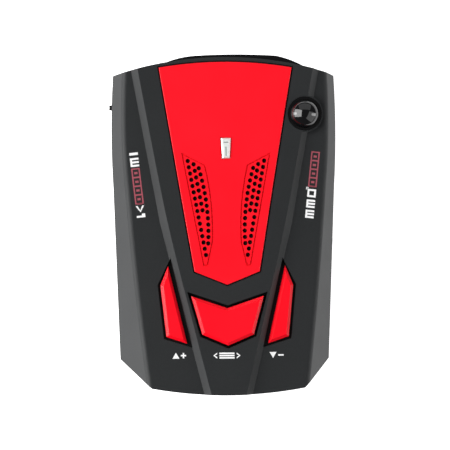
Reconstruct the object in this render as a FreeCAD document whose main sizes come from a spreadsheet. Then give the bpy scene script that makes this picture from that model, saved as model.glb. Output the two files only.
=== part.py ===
import FreeCAD, Part
import math
import os
from types import SimpleNamespace

import Sketcher

# A dash-top radar detector: a wedge-shaped two-piece case that is thin at the end facing the road
# and tall at the end facing the driver. +Y points to the road, +X to the right, +Z up.
# The origin is under the middle of the case, on the surface that its rubber feet stand on.

SIZES = [
    # case
    ("case_length", 107.7, "road end to driver end, on the centre line"),
    ("case_width", 72.2, "widest, at the parting line"),
    ("foot_proud", 0.8, "how far the feet stand below the case"),
    ("parting_height", 12.0, "parting plane above the surface"),
    ("road_height", 18.0, "top of the wings at the road end"),
    ("crown_radius", 590.0, "side view radius of the hollow top"),
    ("wall", 2.0, "case wall"),
    ("side_draft", 27.0, "lean of the upper side facets, degrees"),
    ("lower_draft", 8.0, "lean of the lower shell, degrees"),
    ("road_drop", 5.75, "corner behind the middle of the road end"),
    ("driver_drop", 2.2, "corner behind the middle of the driver end"),
    ("side_radius", 299.0, "plan radius of the sides near the road"),
    ("side_arc", 36.1, "length of that round stretch"),
    ("side_slope", 0.036, "narrowing of the straight side run"),
    ("chamfer_wide", 9.2, "driver corner cut, across"),
    ("chamfer_long", 8.9, "driver corner cut, along"),
    ("wing_round", 1.8, "rounding between wing and side facet"),
    ("floor_round", 1.6, "rounding under the lower shell"),
    ("bedding", 0.02, "film of air between pieces that lie on each other"),
    ("seam_high", 0.6, "shadow gap at the parting line"),
    ("seam_overlap", 0.5, "rim of the gap, reaching into the lower shell"),
    ("seam_deep", 0.4, "depth of that gap"),
    # hood: the raised centre strip, with a bevel along both sides
    ("hood_raise", 2.1, "hood above the wings"),
    ("hood_bevel", 2.05, "bevel along the hood"),
    ("ridge_bend_half", 21.1, "half width of the hood where its sides bend"),
    ("ridge_bend_back", 53.2, "that bend, behind the road end"),
    ("ridge_flare_road", 0.183, "widening towards the road"),
    ("ridge_flare_driver", 0.247, "narrowing towards the driver"),
    # red centre panel
    ("panel_thick", 1.35, "centre panel"),
    ("panel_proud", 0.08, "panel above the hood"),
    ("panel_gap", 0.45, "seam around the panel"),
    ("panel_round", 0.2, "rounding of the panel edge"),
    ("panel_road_half", 21.3, "half width at the road end"),
    ("panel_road_back", 3.35, "corner behind the road end"),
    ("panel_road_bow", 1.8, "bow of the panel's road edge"),
    ("panel_waist_half", 10.4, "half width where the point starts"),
    ("panel_point", 4.2, "length of the point"),
    ("panel_tip_front", 35.0, "point, ahead of the driver end"),
    # perforated blades in the panel
    ("groove_wide", 0.4, "groove around a blade"),
    ("groove_deep", 0.6, "groove around a blade"),
    ("blade_front", 77.2, "tip, ahead of the driver end"),
    ("blade_tip_half", 14.3, "tip, off the centre line"),
    ("blade_long", 36.2, "length of the blade"),
    ("blade_shoulder", 4.0, "inner corner behind the tip"),
    ("blade_shoulder_half", 6.7, "inner corner, off the centre line"),
    ("blade_turn", 28.7, "end of the hollow inner edge, behind the tip"),
    ("blade_turn_half", 4.45, "that end, off the centre line"),
    ("blade_radius", 88.0, "plan radius of the inner edge"),
    ("blade_end_half", 6.2, "blunt end's inner corner, off the centre line"),
    ("blade_end_wide", 1.4, "blunt end"),
    ("hole_radius", 0.72, "perforation"),
    ("hole_pitch", 2.0, "perforations along a lane"),
    ("hole_middle_pitch", 2.1, "perforations along the middle lane"),
    ("hole_spread", 0.75, "inner lane, further in at its road end"),
    ("hole_inset", 1.45, "inner lane inside the blade's edge"),
    ("hole_side", 2.07, "outer lane, inside the blade's straight edge"),
    ("hole_side_step", 1.89, "from the outer lane to the middle lane"),
    ("hole_start", 2.7, "first perforation of the outer lane, behind the tip"),
    ("hole_middle_start", 3.75, "the same for the middle lane"),
    ("hole_inner_start", 1.0, "first perforation of the inner lane, behind the inner corner"),
    ("window_grow", 0.5, "opening under a blade, beyond the blade"),
    ("cloth_thick", 0.4, "cloth behind the blades"),
    ("cloth_grow", 0.4, "cloth beyond the blade"),
    # badge
    ("badge_front", 78.55, "badge centre, ahead of the driver end"),
    ("badge_long", 6.5, "badge length"),
    ("badge_wide", 3.15, "badge width at the road end"),
    ("badge_narrow", 2.4, "badge width at the driver end"),
    ("badge_deep", 0.6, "depth of its recess"),
    ("badge_proud", 0.55, "badge above the panel"),
    ("badge_gap", 0.3, "seam around the badge"),
    ("badge_bevel", 0.45, "bevel of the badge"),
    # buttons
    ("key_gap", 0.9, "opening around a button cap"),
    ("key_gap_inner", 0.5, "extra gap between an outer cap and the hood"),
    ("key_proud", 1.0, "cap above the surface around it"),
    ("key_bevel", 0.9, "bevel of a cap"),
    ("key_flange", 1.5, "base beyond the cap"),
    ("key_base_thick", 0.9, "base plate"),
    ("key_slack", 0.1, "base below the shell at rest"),
    ("key_stem_radius", 1.5, "stem under a base"),
    ("key_travel", 0.5, "travel of a button"),
    ("menu_front", 23.35, "middle button centre, ahead of the driver end"),
    ("arrow_front", 26.95, "outer button stems, ahead of the driver end"),
    ("arrow_half", 17.3, "outer button stems, off the centre line"),
    ("menu_tail", 7.6, "middle cap, from its centre to its driver point"),
    ("menu_heel", 4.1, "from its centre back to its driver corners"),
    ("menu_heel_half", 8.2, "those corners, off the centre line"),
    ("menu_horn", 8.1, "from its centre forward to its road corners"),
    ("menu_horn_half", 11.56, "those corners, off the centre line"),
    ("menu_notch", 4.2, "from its centre forward to the notch"),
    ("arrow_tip", 14.0, "outer cap, from its stem forward to its tip"),
    ("arrow_tip_out", 1.4, "tip, outward of the stem"),
    ("arrow_heel", 10.6, "from its stem back to its inner driver corner"),
    ("arrow_heel_in", 4.35, "that corner, inward of the stem"),
    ("arrow_toe", 8.4, "from its stem back to its outer driver corner"),
    ("arrow_toe_out", 2.2, "that corner, outward of the stem"),
    ("arrow_shoulder", 7.9, "from its stem forward to its outer corner"),
    ("arrow_shoulder_out", 3.9, "that corner, outward of the stem"),
    # tact switches
    ("switch_side", 6.0, "switch body"),
    ("switch_tall", 3.5, "switch body"),
    ("plunger_radius", 1.7, "switch plunger"),
    ("plunger_top", 4.7, "plunger above the board"),
    ("plunger_bottom", 2.4, "plunger's lower end above the board"),
    ("plunger_slack", 0.2, "room around and under the plunger"),
    # dome lens
    ("dome_inset", 6.2, "dome's edge, inside the widest line"),
    ("dome_back", 18.15, "dome centre, behind the road end"),
    ("dome_radius", 4.5, "dome"),
    ("dome_tall", 2.8, "dome above its ring"),
    ("dome_skin", 1.0, "dome wall"),
    ("ring_gap", 0.08, "between dome, ring and shell"),
    ("ring_wide", 0.8, "ring, radially"),
    ("ring_proud", 0.3, "ring above the hood"),
    ("land_wide", 0.45, "raised land around the ring"),
    ("flange_wide", 0.6, "dome flange beyond the ring's hole"),
    ("flange_thick", 0.9, "dome flange"),
    ("flange_room", 0.1, "room over the flange"),
    ("sensor_half", 1.8, "light sensor under the dome, half width"),
    ("sensor_thick", 0.8, "light sensor"),
    # road window
    ("nose_proud", 1.00, "window ahead of the road end"),
    ("nose_shift", 3.5, "window's middle, right of the centre line"),
    ("nose_half", 22.5, "window half width"),
    ("nose_flat_half", 13.0, "gently bowed middle, half width"),
    ("nose_flat_radius", 208.0, "plan radius of the middle"),
    ("nose_shoulder_radius", 30.0, "plan radius of the shoulders"),
    ("nose_back", 3.85, "window's back face, behind the road end"),
    ("nose_low", 6.2, "window's lower edge"),
    ("nose_high", 15.9, "window's upper edge"),
    ("window_gap", 0.1, "fit of a window in its notch"),
    # display window
    ("display_half", 22.0, "display window half width"),
    ("display_low", 14.2, "display window's lower edge"),
    ("display_high", 24.4, "display window's upper edge"),
    ("display_lip", 0.8, "lip inside the wall"),
    # boards
    ("board_low", 11.6, "underside of the main board"),
    ("board_thick", 1.6, "main board"),
    ("board_clear", 0.2, "gap between the main board and the boards that stand up to it"),
    ("board_inset", 6.1, "main board, inside the widest line"),
    ("board_arm_inner", 19.5, "inner edge of the board's two arms"),
    ("horn_half", 17.0, "horn antenna half width"),
    ("horn_low", 5.4, "horn antenna's underside"),
    ("horn_room", 0.3, "room over the horn antenna"),
    ("horn_skin", 0.8, "horn wall"),
    ("horn_inset", 6.0, "horn's mouth, behind the road end"),
    ("throat_half", 6.0, "horn's throat half width"),
    ("throat_long", 6.0, "horn's throat"),
    ("radio_thick", 1.6, "radio board"),
    ("shield_half", 9.0, "screening can, half width"),
    ("shield_deep", 3.0, "screening can, along the case"),
    ("shield_skin", 0.4, "screening can's sheet"),
    ("shield_inset", 0.6, "can, inside the radio board's edges"),
    ("laser_half", 12.0, "laser board half width"),
    ("laser_high", 4.0, "laser board"),
    ("laser_thick", 0.8, "laser board"),
    ("eye_side", 6.0, "laser receiver, off the centre line"),
    ("eye_half", 2.0, "laser receiver's case, half width"),
    ("chip_side", 8.0, "microcontroller"),
    ("chip_thick", 1.4, "microcontroller"),
    ("chip_space", 5.0, "microcontroller behind the speaker"),
    ("crystal_long", 4.0, "crystal"),
    ("crystal_deep", 3.0, "crystal"),
    ("crystal_tall", 3.2, "crystal"),
    ("crystal_space", 4.0, "crystal, beside the microcontroller"),
    ("capacitor_radius", 2.5, "electrolytic capacitor"),
    ("capacitor_tall", 4.0, "electrolytic capacitor"),
    ("capacitor_side", 12.0, "capacitor, inside the widest line"),
    ("capacitor_back", 2.0, "front capacitor, behind the speaker's middle"),
    ("capacitor_pitch", 7.5, "between the capacitors"),
    ("vent_deep", 0.2, "sunk top of a capacitor"),
    ("vent_rim", 0.6, "rolled rim round it"),
    ("regulator_half", 3.2, "voltage regulator's body"),
    ("regulator_thick", 2.2, "voltage regulator's body"),
    ("tab_long", 2.0, "voltage regulator's tab"),
    ("tab_thick", 0.6, "voltage regulator's tab"),
    # light display
    ("led_half", 19.0, "display module, half width"),
    ("led_deep", 4.0, "display module, along the case"),
    ("led_low", 1.3, "display module, above the main board"),
    ("led_tall", 8.8, "display module"),
    ("led_room", 0.1, "display module behind its window"),
    ("digit_half", 3.4, "opening of a digit, half width"),
    ("digit_pitch", 9.0, "spacing of the digits"),
    ("digit_rim", 1.0, "frame over and under the digits"),
    ("digit_deep", 0.6, "opening of a digit"),
    ("upright_half", 23.5, "upright board, half width"),
    ("upright_thick", 1.4, "upright board"),
    ("pin_side", 0.64, "header pin"),
    ("pin_pitch", 2.54, "header pins"),
    ("pin_tall", 4.0, "header pin, above the main board"),
    ("header_tall", 2.4, "header's strip"),
    # speaker
    ("speaker_front", 56.85, "speaker centre, ahead of the driver end"),
    ("speaker_radius", 14.0, "speaker"),
    ("speaker_room", 0.2, "speaker over the main board and under the ceiling"),
    ("speaker_skin", 0.8, "floor of the speaker frame"),
    ("speaker_rim", 1.4, "rim of the speaker frame"),
    ("magnet_radius", 7.0, "speaker magnet"),
    ("magnet_tall", 3.6, "speaker magnet"),
    ("magnet_room", 0.8, "hole of the main board around the magnet"),
    ("cone_travel", 0.4, "cone travel each way"),
    ("cone_deep", 1.3, "cone, from its coil to its rim"),
    ("cone_paper", 0.4, "cone's paper"),
    ("coil_radius", 3.5, "cone's flat middle"),
    ("gasket_room", 0.05, "room over the foam ring"),
    ("terminal_side", 3.0, "speaker's terminal block"),
    ("terminal_space", 0.4, "terminal block behind the speaker"),
    ("lead_long", 0.46, "lead end between terminal and speaker"),
    ("lead_radius", 0.35, "lead end"),
    # power slide switch
    ("slider_back", 15.8, "knob centre, behind the road end"),
    ("slider_height", 7.2, "knob centre above the surface"),
    ("slider_proud", 0.4, "knob beyond the widest line"),
    ("slider_side", 1.6, "knob, along the case and up"),
    ("slider_deep", 1.2, "knob's root inside the wall"),
    ("slider_travel", 2.0, "travel of the knob"),
    ("slider_gap", 0.15, "slot around the knob"),
    ("carrier_long", 4.0, "plate on the knob's root, along the case"),
    ("carrier_high", 3.2, "the same, up"),
    ("carrier_thick", 0.6, "the same, across"),
    ("carrier_lap", 0.1, "the same, over the knob's root"),
    ("tongue_side", 0.8, "tongue that reaches into the switch"),
    ("tongue_long", 1.0, "the same, across"),
    ("switch_can_long", 8.6, "slide switch can, along the case"),
    ("switch_can_deep", 3.5, "the same, across"),
    ("switch_can_high", 4.4, "the same, up"),
    ("switch_leg", 0.6, "leg of the slide switch"),
    ("switch_leg_pitch", 2.54, "spacing of its legs"),
    # power jack
    ("jack_back", 58.15, "jack centre, behind the road end"),
    ("jack_height", 7.9, "jack centre above the surface"),
    ("jack_radius", 3.0, "jack nose"),
    ("jack_bore", 1.8, "bore for the plug"),
    ("jack_bore_long", 9.0, "depth of that bore"),
    ("jack_body", 7.4, "jack body, across and up"),
    ("jack_long", 11.5, "jack body and nose"),
    ("jack_recess", 1.0, "jack's nose, inside the widest line"),
    ("jack_space", 2.4, "jack body, inside the wall"),
    # screws and bosses
    ("post_radius", 3.2, "posts of the lower shell"),
    ("boss_step", 0.2, "bosses of the upper shell, thinner than the posts"),
    ("stand_radius", 2.6, "stands under the main board"),
    ("pilot_spare", 0.6, "pilot hole beyond the screw's end"),
    ("board_screw_grip", 4.8, "board screw in its stand"),
    ("cross_long", 1.2, "cross recess, half length"),
    ("cross_wide", 0.25, "cross recess, half width"),
    ("cross_deep", 0.8, "cross recess"),
    ("head_radius", 2.2, "screw head"),
    ("head_tall", 1.6, "screw head"),
    ("counterbore_radius", 2.6, "hole for a screw head"),
    ("counterbore_high", 7.0, "seat of a screw head"),
    ("shank_radius", 0.9, "screw shank"),
    ("shank_gap", 0.05, "pilot hole beyond the shank"),
    ("clear_radius", 1.3, "clearance hole"),
    ("screw_grip", 4.6, "screw in the upper shell"),
    # underside
    ("foot_radius", 4.0, "rubber feet"),
    ("foot_sunk", 0.6, "feet in their recess"),
    ("foot_gap", 0.1, "recess around a foot"),
    ("plate_long", 40.0, "rating plate"),
    ("plate_wide", 22.0, "rating plate"),
    ("plate_thick", 0.3, "rating plate"),
    ("plate_back", 8.0, "rating plate's centre, behind the middle of the case"),
    ("plate_gap", 0.2, "recess around the rating plate"),
    ("slot_wide", 20.0, "bracket slot, wide part"),
    ("slot_mouth", 14.0, "bracket slot, mouth"),
    ("slot_lip", 1.0, "bracket slot, lip"),
    ("slot_tall", 2.0, "bracket slot, height of the wide part"),
    ("slot_long", 20.0, "bracket slot"),
    ("slot_roof", 1.2, "material over the slot"),
]


class Size:
    """A number together with the sheet expression that gives it."""

    def __init__(self, text, value):
        self.text, self.value = text, value

    def __add__(self, other):
        other = as_size(other)
        return Size(f"({self.text} + {other.text})", self.value + other.value)

    def __sub__(self, other):
        other = as_size(other)
        return Size(f"({self.text} - {other.text})", self.value - other.value)

    def __mul__(self, other):
        other = as_size(other)
        return Size(f"({self.text} * {other.text})", self.value * other.value)

    def __truediv__(self, other):
        other = as_size(other)
        return Size(f"({self.text} / {other.text})", self.value / other.value)

    def __neg__(self):
        return Size(f"(0 - {self.text})", -self.value)

    __radd__ = __add__

    def __rsub__(self, other):
        return as_size(other) - self

    def __rmul__(self, other):
        return as_size(other) * self


def as_size(value):
    return value if isinstance(value, Size) else Size(repr(float(value)), float(value))


def root(value):
    return Size(f"sqrt({value.text})", math.sqrt(value.value))


doc = FreeCAD.newDocument("RadarDetector")


def make_sheet():
    """The spreadsheet of driving dimensions, and the same sizes by name for the code below."""
    sheet = doc.addObject("Spreadsheet::Sheet", "Sizes")
    for row, (alias, value, note) in enumerate(SIZES, start=1):
        sheet.set(f"A{row}", alias)
        sheet.set(f"B{row}", str(value))
        sheet.set(f"C{row}", note)
        sheet.setAlias(f"B{row}", alias)
    doc.recompute()
    return SimpleNamespace(**{alias: Size(f"Sizes.{alias}", float(value)) for alias, value, _ in SIZES})


size = make_sheet()


def drive(thing, prop, value):
    """Binds a property to the sheet."""
    thing.setExpression(prop, as_size(value).text)


# Sketches -------------------------------------------------------------------------------------


def origin_plane(body, name):
    return next(f for f in body.Origin.OriginFeatures if f.Role == f"{name}_Plane")


def arc_centre(start, end, radius, side):
    across, along = end[0] - start[0], end[1] - start[1]
    chord = math.hypot(across, along)
    reach = side * math.sqrt(radius**2 - chord**2 / 4) / chord
    return (start[0] + end[0]) / 2 - along * reach, (start[1] + end[1]) / 2 + across * reach


def draw_loop(sketch, corners, bends, construction):
    """Edges between numeric corners. Returns for each its number and the point numbers of its two ends."""
    edges = []
    for i, start in enumerate(corners):
        end = corners[(i + 1) % len(corners)]
        if bends[i]:
            radius, side = bends[i]
            centre = arc_centre(start, end, radius, side)
            ends = (start, end) if side > 0 else (end, start)
            angles = [math.atan2(p[1] - centre[1], p[0] - centre[0]) for p in ends]
            circle = Part.Circle(FreeCAD.Vector(*centre, 0), FreeCAD.Vector(0, 0, 1), radius)
            number = sketch.addGeometry(Part.ArcOfCircle(circle, *angles), construction)
            edges.append((number, 1, 2) if side > 0 else (number, 2, 1))
        else:
            line = Part.LineSegment(FreeCAD.Vector(*start, 0), FreeCAD.Vector(*end, 0))
            edges.append((sketch.addGeometry(line, construction), 1, 2))
    for i, (number, _, last) in enumerate(edges):
        following, first, _ = edges[(i + 1) % len(edges)]
        sketch.addConstraint(Sketcher.Constraint("Coincident", number, last, following, first))
    return edges


def hold(sketch, kind, *where, value):
    number = sketch.addConstraint(Sketcher.Constraint(kind, *where, value.value))
    drive(sketch, f"Constraints[{number}]", value)


def moved_corners(corners, bends, outward):
    """Numeric corners of the same counter-clockwise loop, moved outward."""
    normals = []
    for i, start in enumerate(corners):
        end = corners[(i + 1) % len(corners)]
        length = math.hypot(end[0] - start[0], end[1] - start[1])
        normal = ((end[1] - start[1]) / length, -(end[0] - start[0]) / length)
        if bends[i]:
            radius, side = bends[i]
            centre = arc_centre(start, end, radius, side)
            away = side / radius
            normals.append([((p[0] - centre[0]) * away, (p[1] - centre[1]) * away) for p in (start, end)])
        else:
            normals.append([normal, normal])
    moved = []
    for i, corner in enumerate(corners):
        a, b = normals[i - 1][1], normals[i][0]
        share = outward / (1 + a[0] * b[0] + a[1] * b[1])
        moved.append((corner[0] + (a[0] + b[0]) * share, corner[1] + (a[1] + b[1]) * share))
    return moved


def loop_in(sketch, corners, grow):
    """A closed loop. A corner is (x, y) or (x, y, radius, side) where an arc leaves it: side is 1 if the
    arc's centre lies to the left. Corners run counter-clockwise, and grow moves every edge outward."""
    corners = [tuple(as_size(v) for v in c[:2]) + tuple(c[2:]) for c in corners]
    numbers = [(c[0].value, c[1].value) for c in corners]
    bends = [(as_size(c[2]).value, c[3]) if len(c) > 2 else None for c in corners]
    edges = draw_loop(sketch, numbers, bends, construction=grow is not None)
    for (number, first, _), corner in zip(edges, corners):
        hold(sketch, "DistanceX", -1, 1, number, first, value=corner[0])
        hold(sketch, "DistanceY", -1, 1, number, first, value=corner[1])
        if len(corner) > 2:
            hold(sketch, "Radius", number, value=as_size(corner[2]))
    if grow is None:
        return
    moved = moved_corners(numbers, bends, grow.value)
    new_bends = [(b[0] + b[1] * grow.value, b[1]) if b else None for b in bends]
    outer = draw_loop(sketch, moved, new_bends, construction=False)
    for (number, first, _), (old, _, _), corner in zip(outer, edges, corners):
        if len(corner) > 2:
            sketch.addConstraint(Sketcher.Constraint("Coincident", number, 3, old, 3))
            hold(sketch, "Radius", number, value=as_size(corner[2]) + corner[3] * grow)
        else:
            sketch.addConstraint(Sketcher.Constraint("Parallel", number, old))
            distance = grow if grow.value > 0 else -grow
            hold(sketch, "Distance", number, first, old, value=distance)


def circle_in(sketch, x, y, radius):
    x, y, radius = as_size(x), as_size(y), as_size(radius)
    circle = Part.Circle(FreeCAD.Vector(x.value, y.value, 0), FreeCAD.Vector(0, 0, 1), radius.value)
    number = sketch.addGeometry(circle, False)
    hold(sketch, "DistanceX", -1, 1, number, 3, value=x)
    hold(sketch, "DistanceY", -1, 1, number, 3, value=y)
    hold(sketch, "Radius", number, value=radius)


def sketch_on(body, plane, lift=None, corners=None, circles=(), loops=(), grow=None):
    """A fully held sketch on one of the body's own origin planes, lifted along that plane's normal."""
    sketch = body.newObject("Sketcher::SketchObject", f"{body.Name}Sketch")
    sketch.AttachmentSupport = (origin_plane(body, plane), [""])
    sketch.MapMode = "FlatFace"
    if lift is not None:
        drive(sketch, ".AttachmentOffset.Base.z", lift)
    for loop in ([corners] if corners else []) + list(loops):
        loop_in(sketch, loop, grow)
    for circle in circles:
        circle_in(sketch, *circle)
    return sketch


# Solids ---------------------------------------------------------------------------------------

nodes = []


def node(label, thing):
    """Registers a finished sub-part under the name of its file."""
    thing.Label = label
    nodes.append(thing)
    return thing


def plate(name, low, high, corners=None, circles=(), loops=(), grow=None, plane="XY"):
    """A flat piece between two levels along the plane's normal."""
    body = doc.addObject("PartDesign::Body", name)
    sketch = sketch_on(body, plane, as_size(low), corners, circles, loops, grow)
    pad = body.newObject("PartDesign::Pad", f"{name}Pad")
    pad.Profile = sketch
    drive(pad, "Length", high - low)
    return body


def box(name, x_low, x_high, y_low, y_high, z_low, z_high):
    piece = doc.addObject("Part::Box", name)
    for side, low, high in (("Length", x_low, x_high), ("Width", y_low, y_high), ("Height", z_low, z_high)):
        drive(piece, side, as_size(high) - low)
    for axis, low in (("x", x_low), ("y", y_low), ("z", z_low)):
        drive(piece, f".Placement.Base.{axis}", low)
    return piece


TURNS = {"X": ((0, 1, 0), 90), "Y": ((1, 0, 0), -90), "Z": ((0, 0, 1), 0)}


def rod(name, start, length, radius, axis="Z"):
    """A round bar that begins at `start` and runs along +X, +Y or +Z."""
    piece = doc.addObject("Part::Cylinder", name)
    turn, angle = TURNS[axis]
    piece.Placement = FreeCAD.Placement(FreeCAD.Vector(), FreeCAD.Rotation(FreeCAD.Vector(*turn), angle))
    drive(piece, "Radius", radius)
    drive(piece, "Height", length)
    for letter, value in zip("xyz", start):
        drive(piece, f".Placement.Base.{letter}", value)
    return piece


def gathered(kind, name, pieces):
    result = doc.addObject(kind, name)
    if kind == "Part::Compound":
        result.Links = list(pieces)
    else:
        result.Shapes = list(pieces)
    return result


def fuse(name, *pieces):
    return gathered("Part::MultiFuse", name, pieces)


def common(name, *pieces):
    return gathered("Part::MultiCommon", name, pieces)


def group(name, *pieces):
    return gathered("Part::Compound", name, pieces)


def cut(name, base, *tools):
    result = doc.addObject("Part::Cut", name)
    result.Base = base
    result.Tool = tools[0] if len(tools) == 1 else fuse(f"{name}Tools", *tools)
    return result


def mirrored(name, piece):
    """The same piece on the other side of the centre line."""
    result = doc.addObject("Part::Mirroring", name)
    result.Source = piece
    result.Normal = (1, 0, 0)
    return result


def pair(name, piece):
    return group(name, piece, mirrored(f"{name}Left", piece))


# The case's own shape -------------------------------------------------------------------------

half = size.case_width / 2
y_road = size.case_length / 2 - size.nose_proud / 2
y_driver = -size.case_length / 2 - size.nose_proud / 2
reach = size.case_length / 2 + 20
tall = as_size(60.0)
deep = as_size(-5.0)
floor_low = size.foot_proud
floor_high = size.foot_proud + size.wall
parting = size.parting_height
crown_top = size.road_height + size.crown_radius

side_bulge = size.side_arc * size.side_arc / (8 * size.side_radius)
corner_half = half - side_bulge
corner_back = y_road - size.road_drop
arc_end = corner_back - size.side_arc
cut_end = y_driver + size.driver_drop
cut_start = cut_end + size.chamfer_long
waist_half = corner_half - size.side_slope * (arc_end - cut_start)
tail_half = waist_half - size.chamfer_wide
road_radius = (corner_half * corner_half + size.road_drop * size.road_drop) / (2 * size.road_drop)
driver_radius = (tail_half * tail_half + size.driver_drop * size.driver_drop) / (2 * size.driver_drop)

# Plan of the case at the parting plane, counter-clockwise from the driver's right.
OUTLINE = [
    (tail_half, cut_end),
    (waist_half, cut_start),
    (corner_half, arc_end, size.side_radius, 1),
    (corner_half, corner_back, road_radius, 1),
    (-corner_half, corner_back, size.side_radius, 1),
    (-corner_half, arc_end),
    (-waist_half, cut_start),
    (-tail_half, cut_end, driver_radius, 1),
]


def sides():
    """The same two sides run on past both ends, so that only the sides lean."""
    middle = arc_end + size.side_arc / 2
    chord = size.side_arc / 2
    centre = corner_half - root(size.side_radius * size.side_radius - chord * chord)
    far = reach - middle
    road_x = centre + root(size.side_radius * size.side_radius - far * far)
    driver_x = corner_half - size.side_slope * (arc_end + reach)
    return [
        (-driver_x, -reach),
        (driver_x, -reach),
        (corner_half, arc_end, size.side_radius, 1),
        (road_x, reach),
        (-road_x, reach, size.side_radius, 1),
        (-corner_half, arc_end),
    ]


def crown(along, above):
    """Height at this y of the surface that lies `above` the wings."""
    radius = size.crown_radius - above
    back = as_size(along) - y_road
    return crown_top - root(radius * radius - back * back)


def region_above(above):
    """Side view of everything over that surface."""
    radius = size.crown_radius - above
    return [
        (-reach, crown(-reach, above), radius, 1),
        (reach, crown(reach, above)),
        (reach, tall),
        (-reach, tall),
    ]


def region_below(above):
    radius = size.crown_radius - above
    return [
        (-reach, deep),
        (reach, deep),
        (reach, crown(reach, above), radius, -1),
        (-reach, crown(-reach, above)),
    ]


def band(name, low, high):
    """Everything between two surfaces parallel to the top of the case."""
    low, high = as_size(low), as_size(high)
    body = doc.addObject("PartDesign::Body", name)
    loop = [
        (-reach, crown(-reach, low), size.crown_radius - low, 1),
        (reach, crown(reach, low)),
        (reach, crown(reach, high), size.crown_radius - high, -1),
        (-reach, crown(-reach, high)),
    ]
    pad = body.newObject("PartDesign::Pad", f"{name}Pad")
    pad.Profile = sketch_on(body, "YZ", corners=loop)
    pad.SideType = "Symmetric"
    drive(pad, "Length", size.case_width * 1.5)
    return body


def trim_by_side_view(body, loops):
    """Cuts side view regions right through a body."""
    doc.recompute()
    before = body.Shape.Volume
    pocket = body.newObject("PartDesign::Pocket", f"{body.Name}Trim")
    pocket.Profile = sketch_on(body, "YZ", loops=loops)
    pocket.SideType = "Symmetric"
    drive(pocket, "Length", size.case_width * 2)
    doc.recompute()
    if body.Shape.Volume >= before:
        raise ValueError(f"{body.Name}: the trim removed nothing")


def dress_top(body, above, kind, amount, long_edges_only=False):
    """Chamfers or rounds the edges that lie on the surface `above` the wings."""
    doc.recompute()
    tip = body.Tip
    picked = []
    for number, edge in enumerate(tip.Shape.Edges, start=1):
        points = edge.discretize(5)
        on_top = all(abs(p.z - crown(p.y, above).value) < 0.01 for p in points)
        at_end = long_edges_only and all(abs(p.y) > reach.value - 1 for p in points)
        if on_top and not at_end:
            picked.append(f"Edge{number}")
    dressing = body.newObject(f"PartDesign::{kind}", f"{body.Name}{kind}")
    dressing.Base = (tip, picked)
    drive(dressing, "Radius" if kind == "Fillet" else "Size", amount)


def crowned(name, corners, low, high, grow=None, bevel=None, rounding=None):
    """A prism whose bottom and top follow the hollow top of the case."""
    body = plate(name, as_size(-2.0), tall - 2, corners, grow=grow)
    loops = [region_above(as_size(high))]
    if low is not None:
        loops.append(region_below(as_size(low)))
    trim_by_side_view(body, loops)
    if bevel is not None:
        dress_top(body, as_size(high), "Chamfer", bevel)
    if rounding is not None:
        dress_top(body, as_size(high), "Fillet", rounding)
    return body


def wing_block(name, inward, rounding=None):
    """The drafted upper block, `inward` of the case's outer faces on its sides and its top."""
    body = doc.addObject("PartDesign::Body", name)
    lean = Size(f"cos({size.side_draft.text} * 1 deg)", math.cos(math.radians(size.side_draft.value)))
    pad = body.newObject("PartDesign::Pad", f"{name}Pad")
    grow = None if inward is None else -(inward / lean)
    pad.Profile = sketch_on(body, "XY", parting, sides(), grow=grow)
    drive(pad, "Length", as_size(26.0))
    drive(pad, "TaperAngle", -size.side_draft)
    above = as_size(0.0) if inward is None else -inward
    trim_by_side_view(body, [region_above(above)])
    if rounding is not None:
        dress_top(body, above, "Fillet", rounding, long_edges_only=True)
    return body


HOOD = [
    (size.ridge_bend_half - size.ridge_flare_driver * (reach - size.ridge_bend_back + y_road), -reach),
    (size.ridge_bend_half, y_road - size.ridge_bend_back),
    (size.ridge_bend_half + size.ridge_flare_road * (reach + size.ridge_bend_back - y_road), reach),
]
HOOD += [(-x, y) for x, y in reversed(HOOD)]
hood_top = size.hood_raise


def hood_block():
    body = plate("Hood", parting, tall, HOOD)
    trim_by_side_view(body, [region_above(hood_top)])
    dress_top(body, hood_top, "Chamfer", size.hood_bevel, long_edges_only=True)
    return body


# Far enough above the wings for a cut to leave through the top.
over = as_size(8.0)

# Outlines shared by the pieces and by the openings they sit in ---------------------------------

panel_tip = y_driver + size.panel_tip_front
panel_corner = y_road - size.panel_road_back
bow_radius = (
    size.panel_road_half * size.panel_road_half + size.panel_road_bow * size.panel_road_bow
) / (2 * size.panel_road_bow)
PANEL = [
    (as_size(0.0), panel_tip),
    (size.panel_waist_half, panel_tip + size.panel_point),
    (size.panel_road_half, panel_corner, bow_radius, 1),
    (-size.panel_road_half, panel_corner),
    (-size.panel_waist_half, panel_tip + size.panel_point),
]

blade_tip = y_driver + size.blade_front
blade_end = blade_tip - size.blade_long
blade_shoulder = blade_tip - size.blade_shoulder
blade_turn = blade_tip - size.blade_turn
# A leaf: pointed towards the road, blunt towards the driver, and bowed only on its inner side.
BLADE = [
    (size.blade_tip_half, blade_tip),
    (size.blade_shoulder_half, blade_shoulder, size.blade_radius, 1),
    (size.blade_turn_half, blade_turn),
    (size.blade_end_half, blade_end),
    (size.blade_end_half + size.blade_end_wide, blade_end),
]

badge_y = y_driver + size.badge_front
BADGE = [
    (size.badge_narrow / 2, badge_y - size.badge_long / 2),
    (size.badge_wide / 2, badge_y + size.badge_long / 2),
    (-size.badge_wide / 2, badge_y + size.badge_long / 2),
    (-size.badge_narrow / 2, badge_y - size.badge_long / 2),
]

menu_y = y_driver + size.menu_front
# The middle cap is a broad arrowhead, notched where the panel's point comes down to it.
MENU = [
    (as_size(0.0), menu_y - size.menu_tail),
    (size.menu_heel_half, menu_y - size.menu_heel),
    (size.menu_horn_half, menu_y + size.menu_horn),
    (as_size(0.0), menu_y + size.menu_notch),
    (-size.menu_horn_half, menu_y + size.menu_horn),
    (-size.menu_heel_half, menu_y - size.menu_heel),
]

arrow_y = y_driver + size.arrow_front


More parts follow.
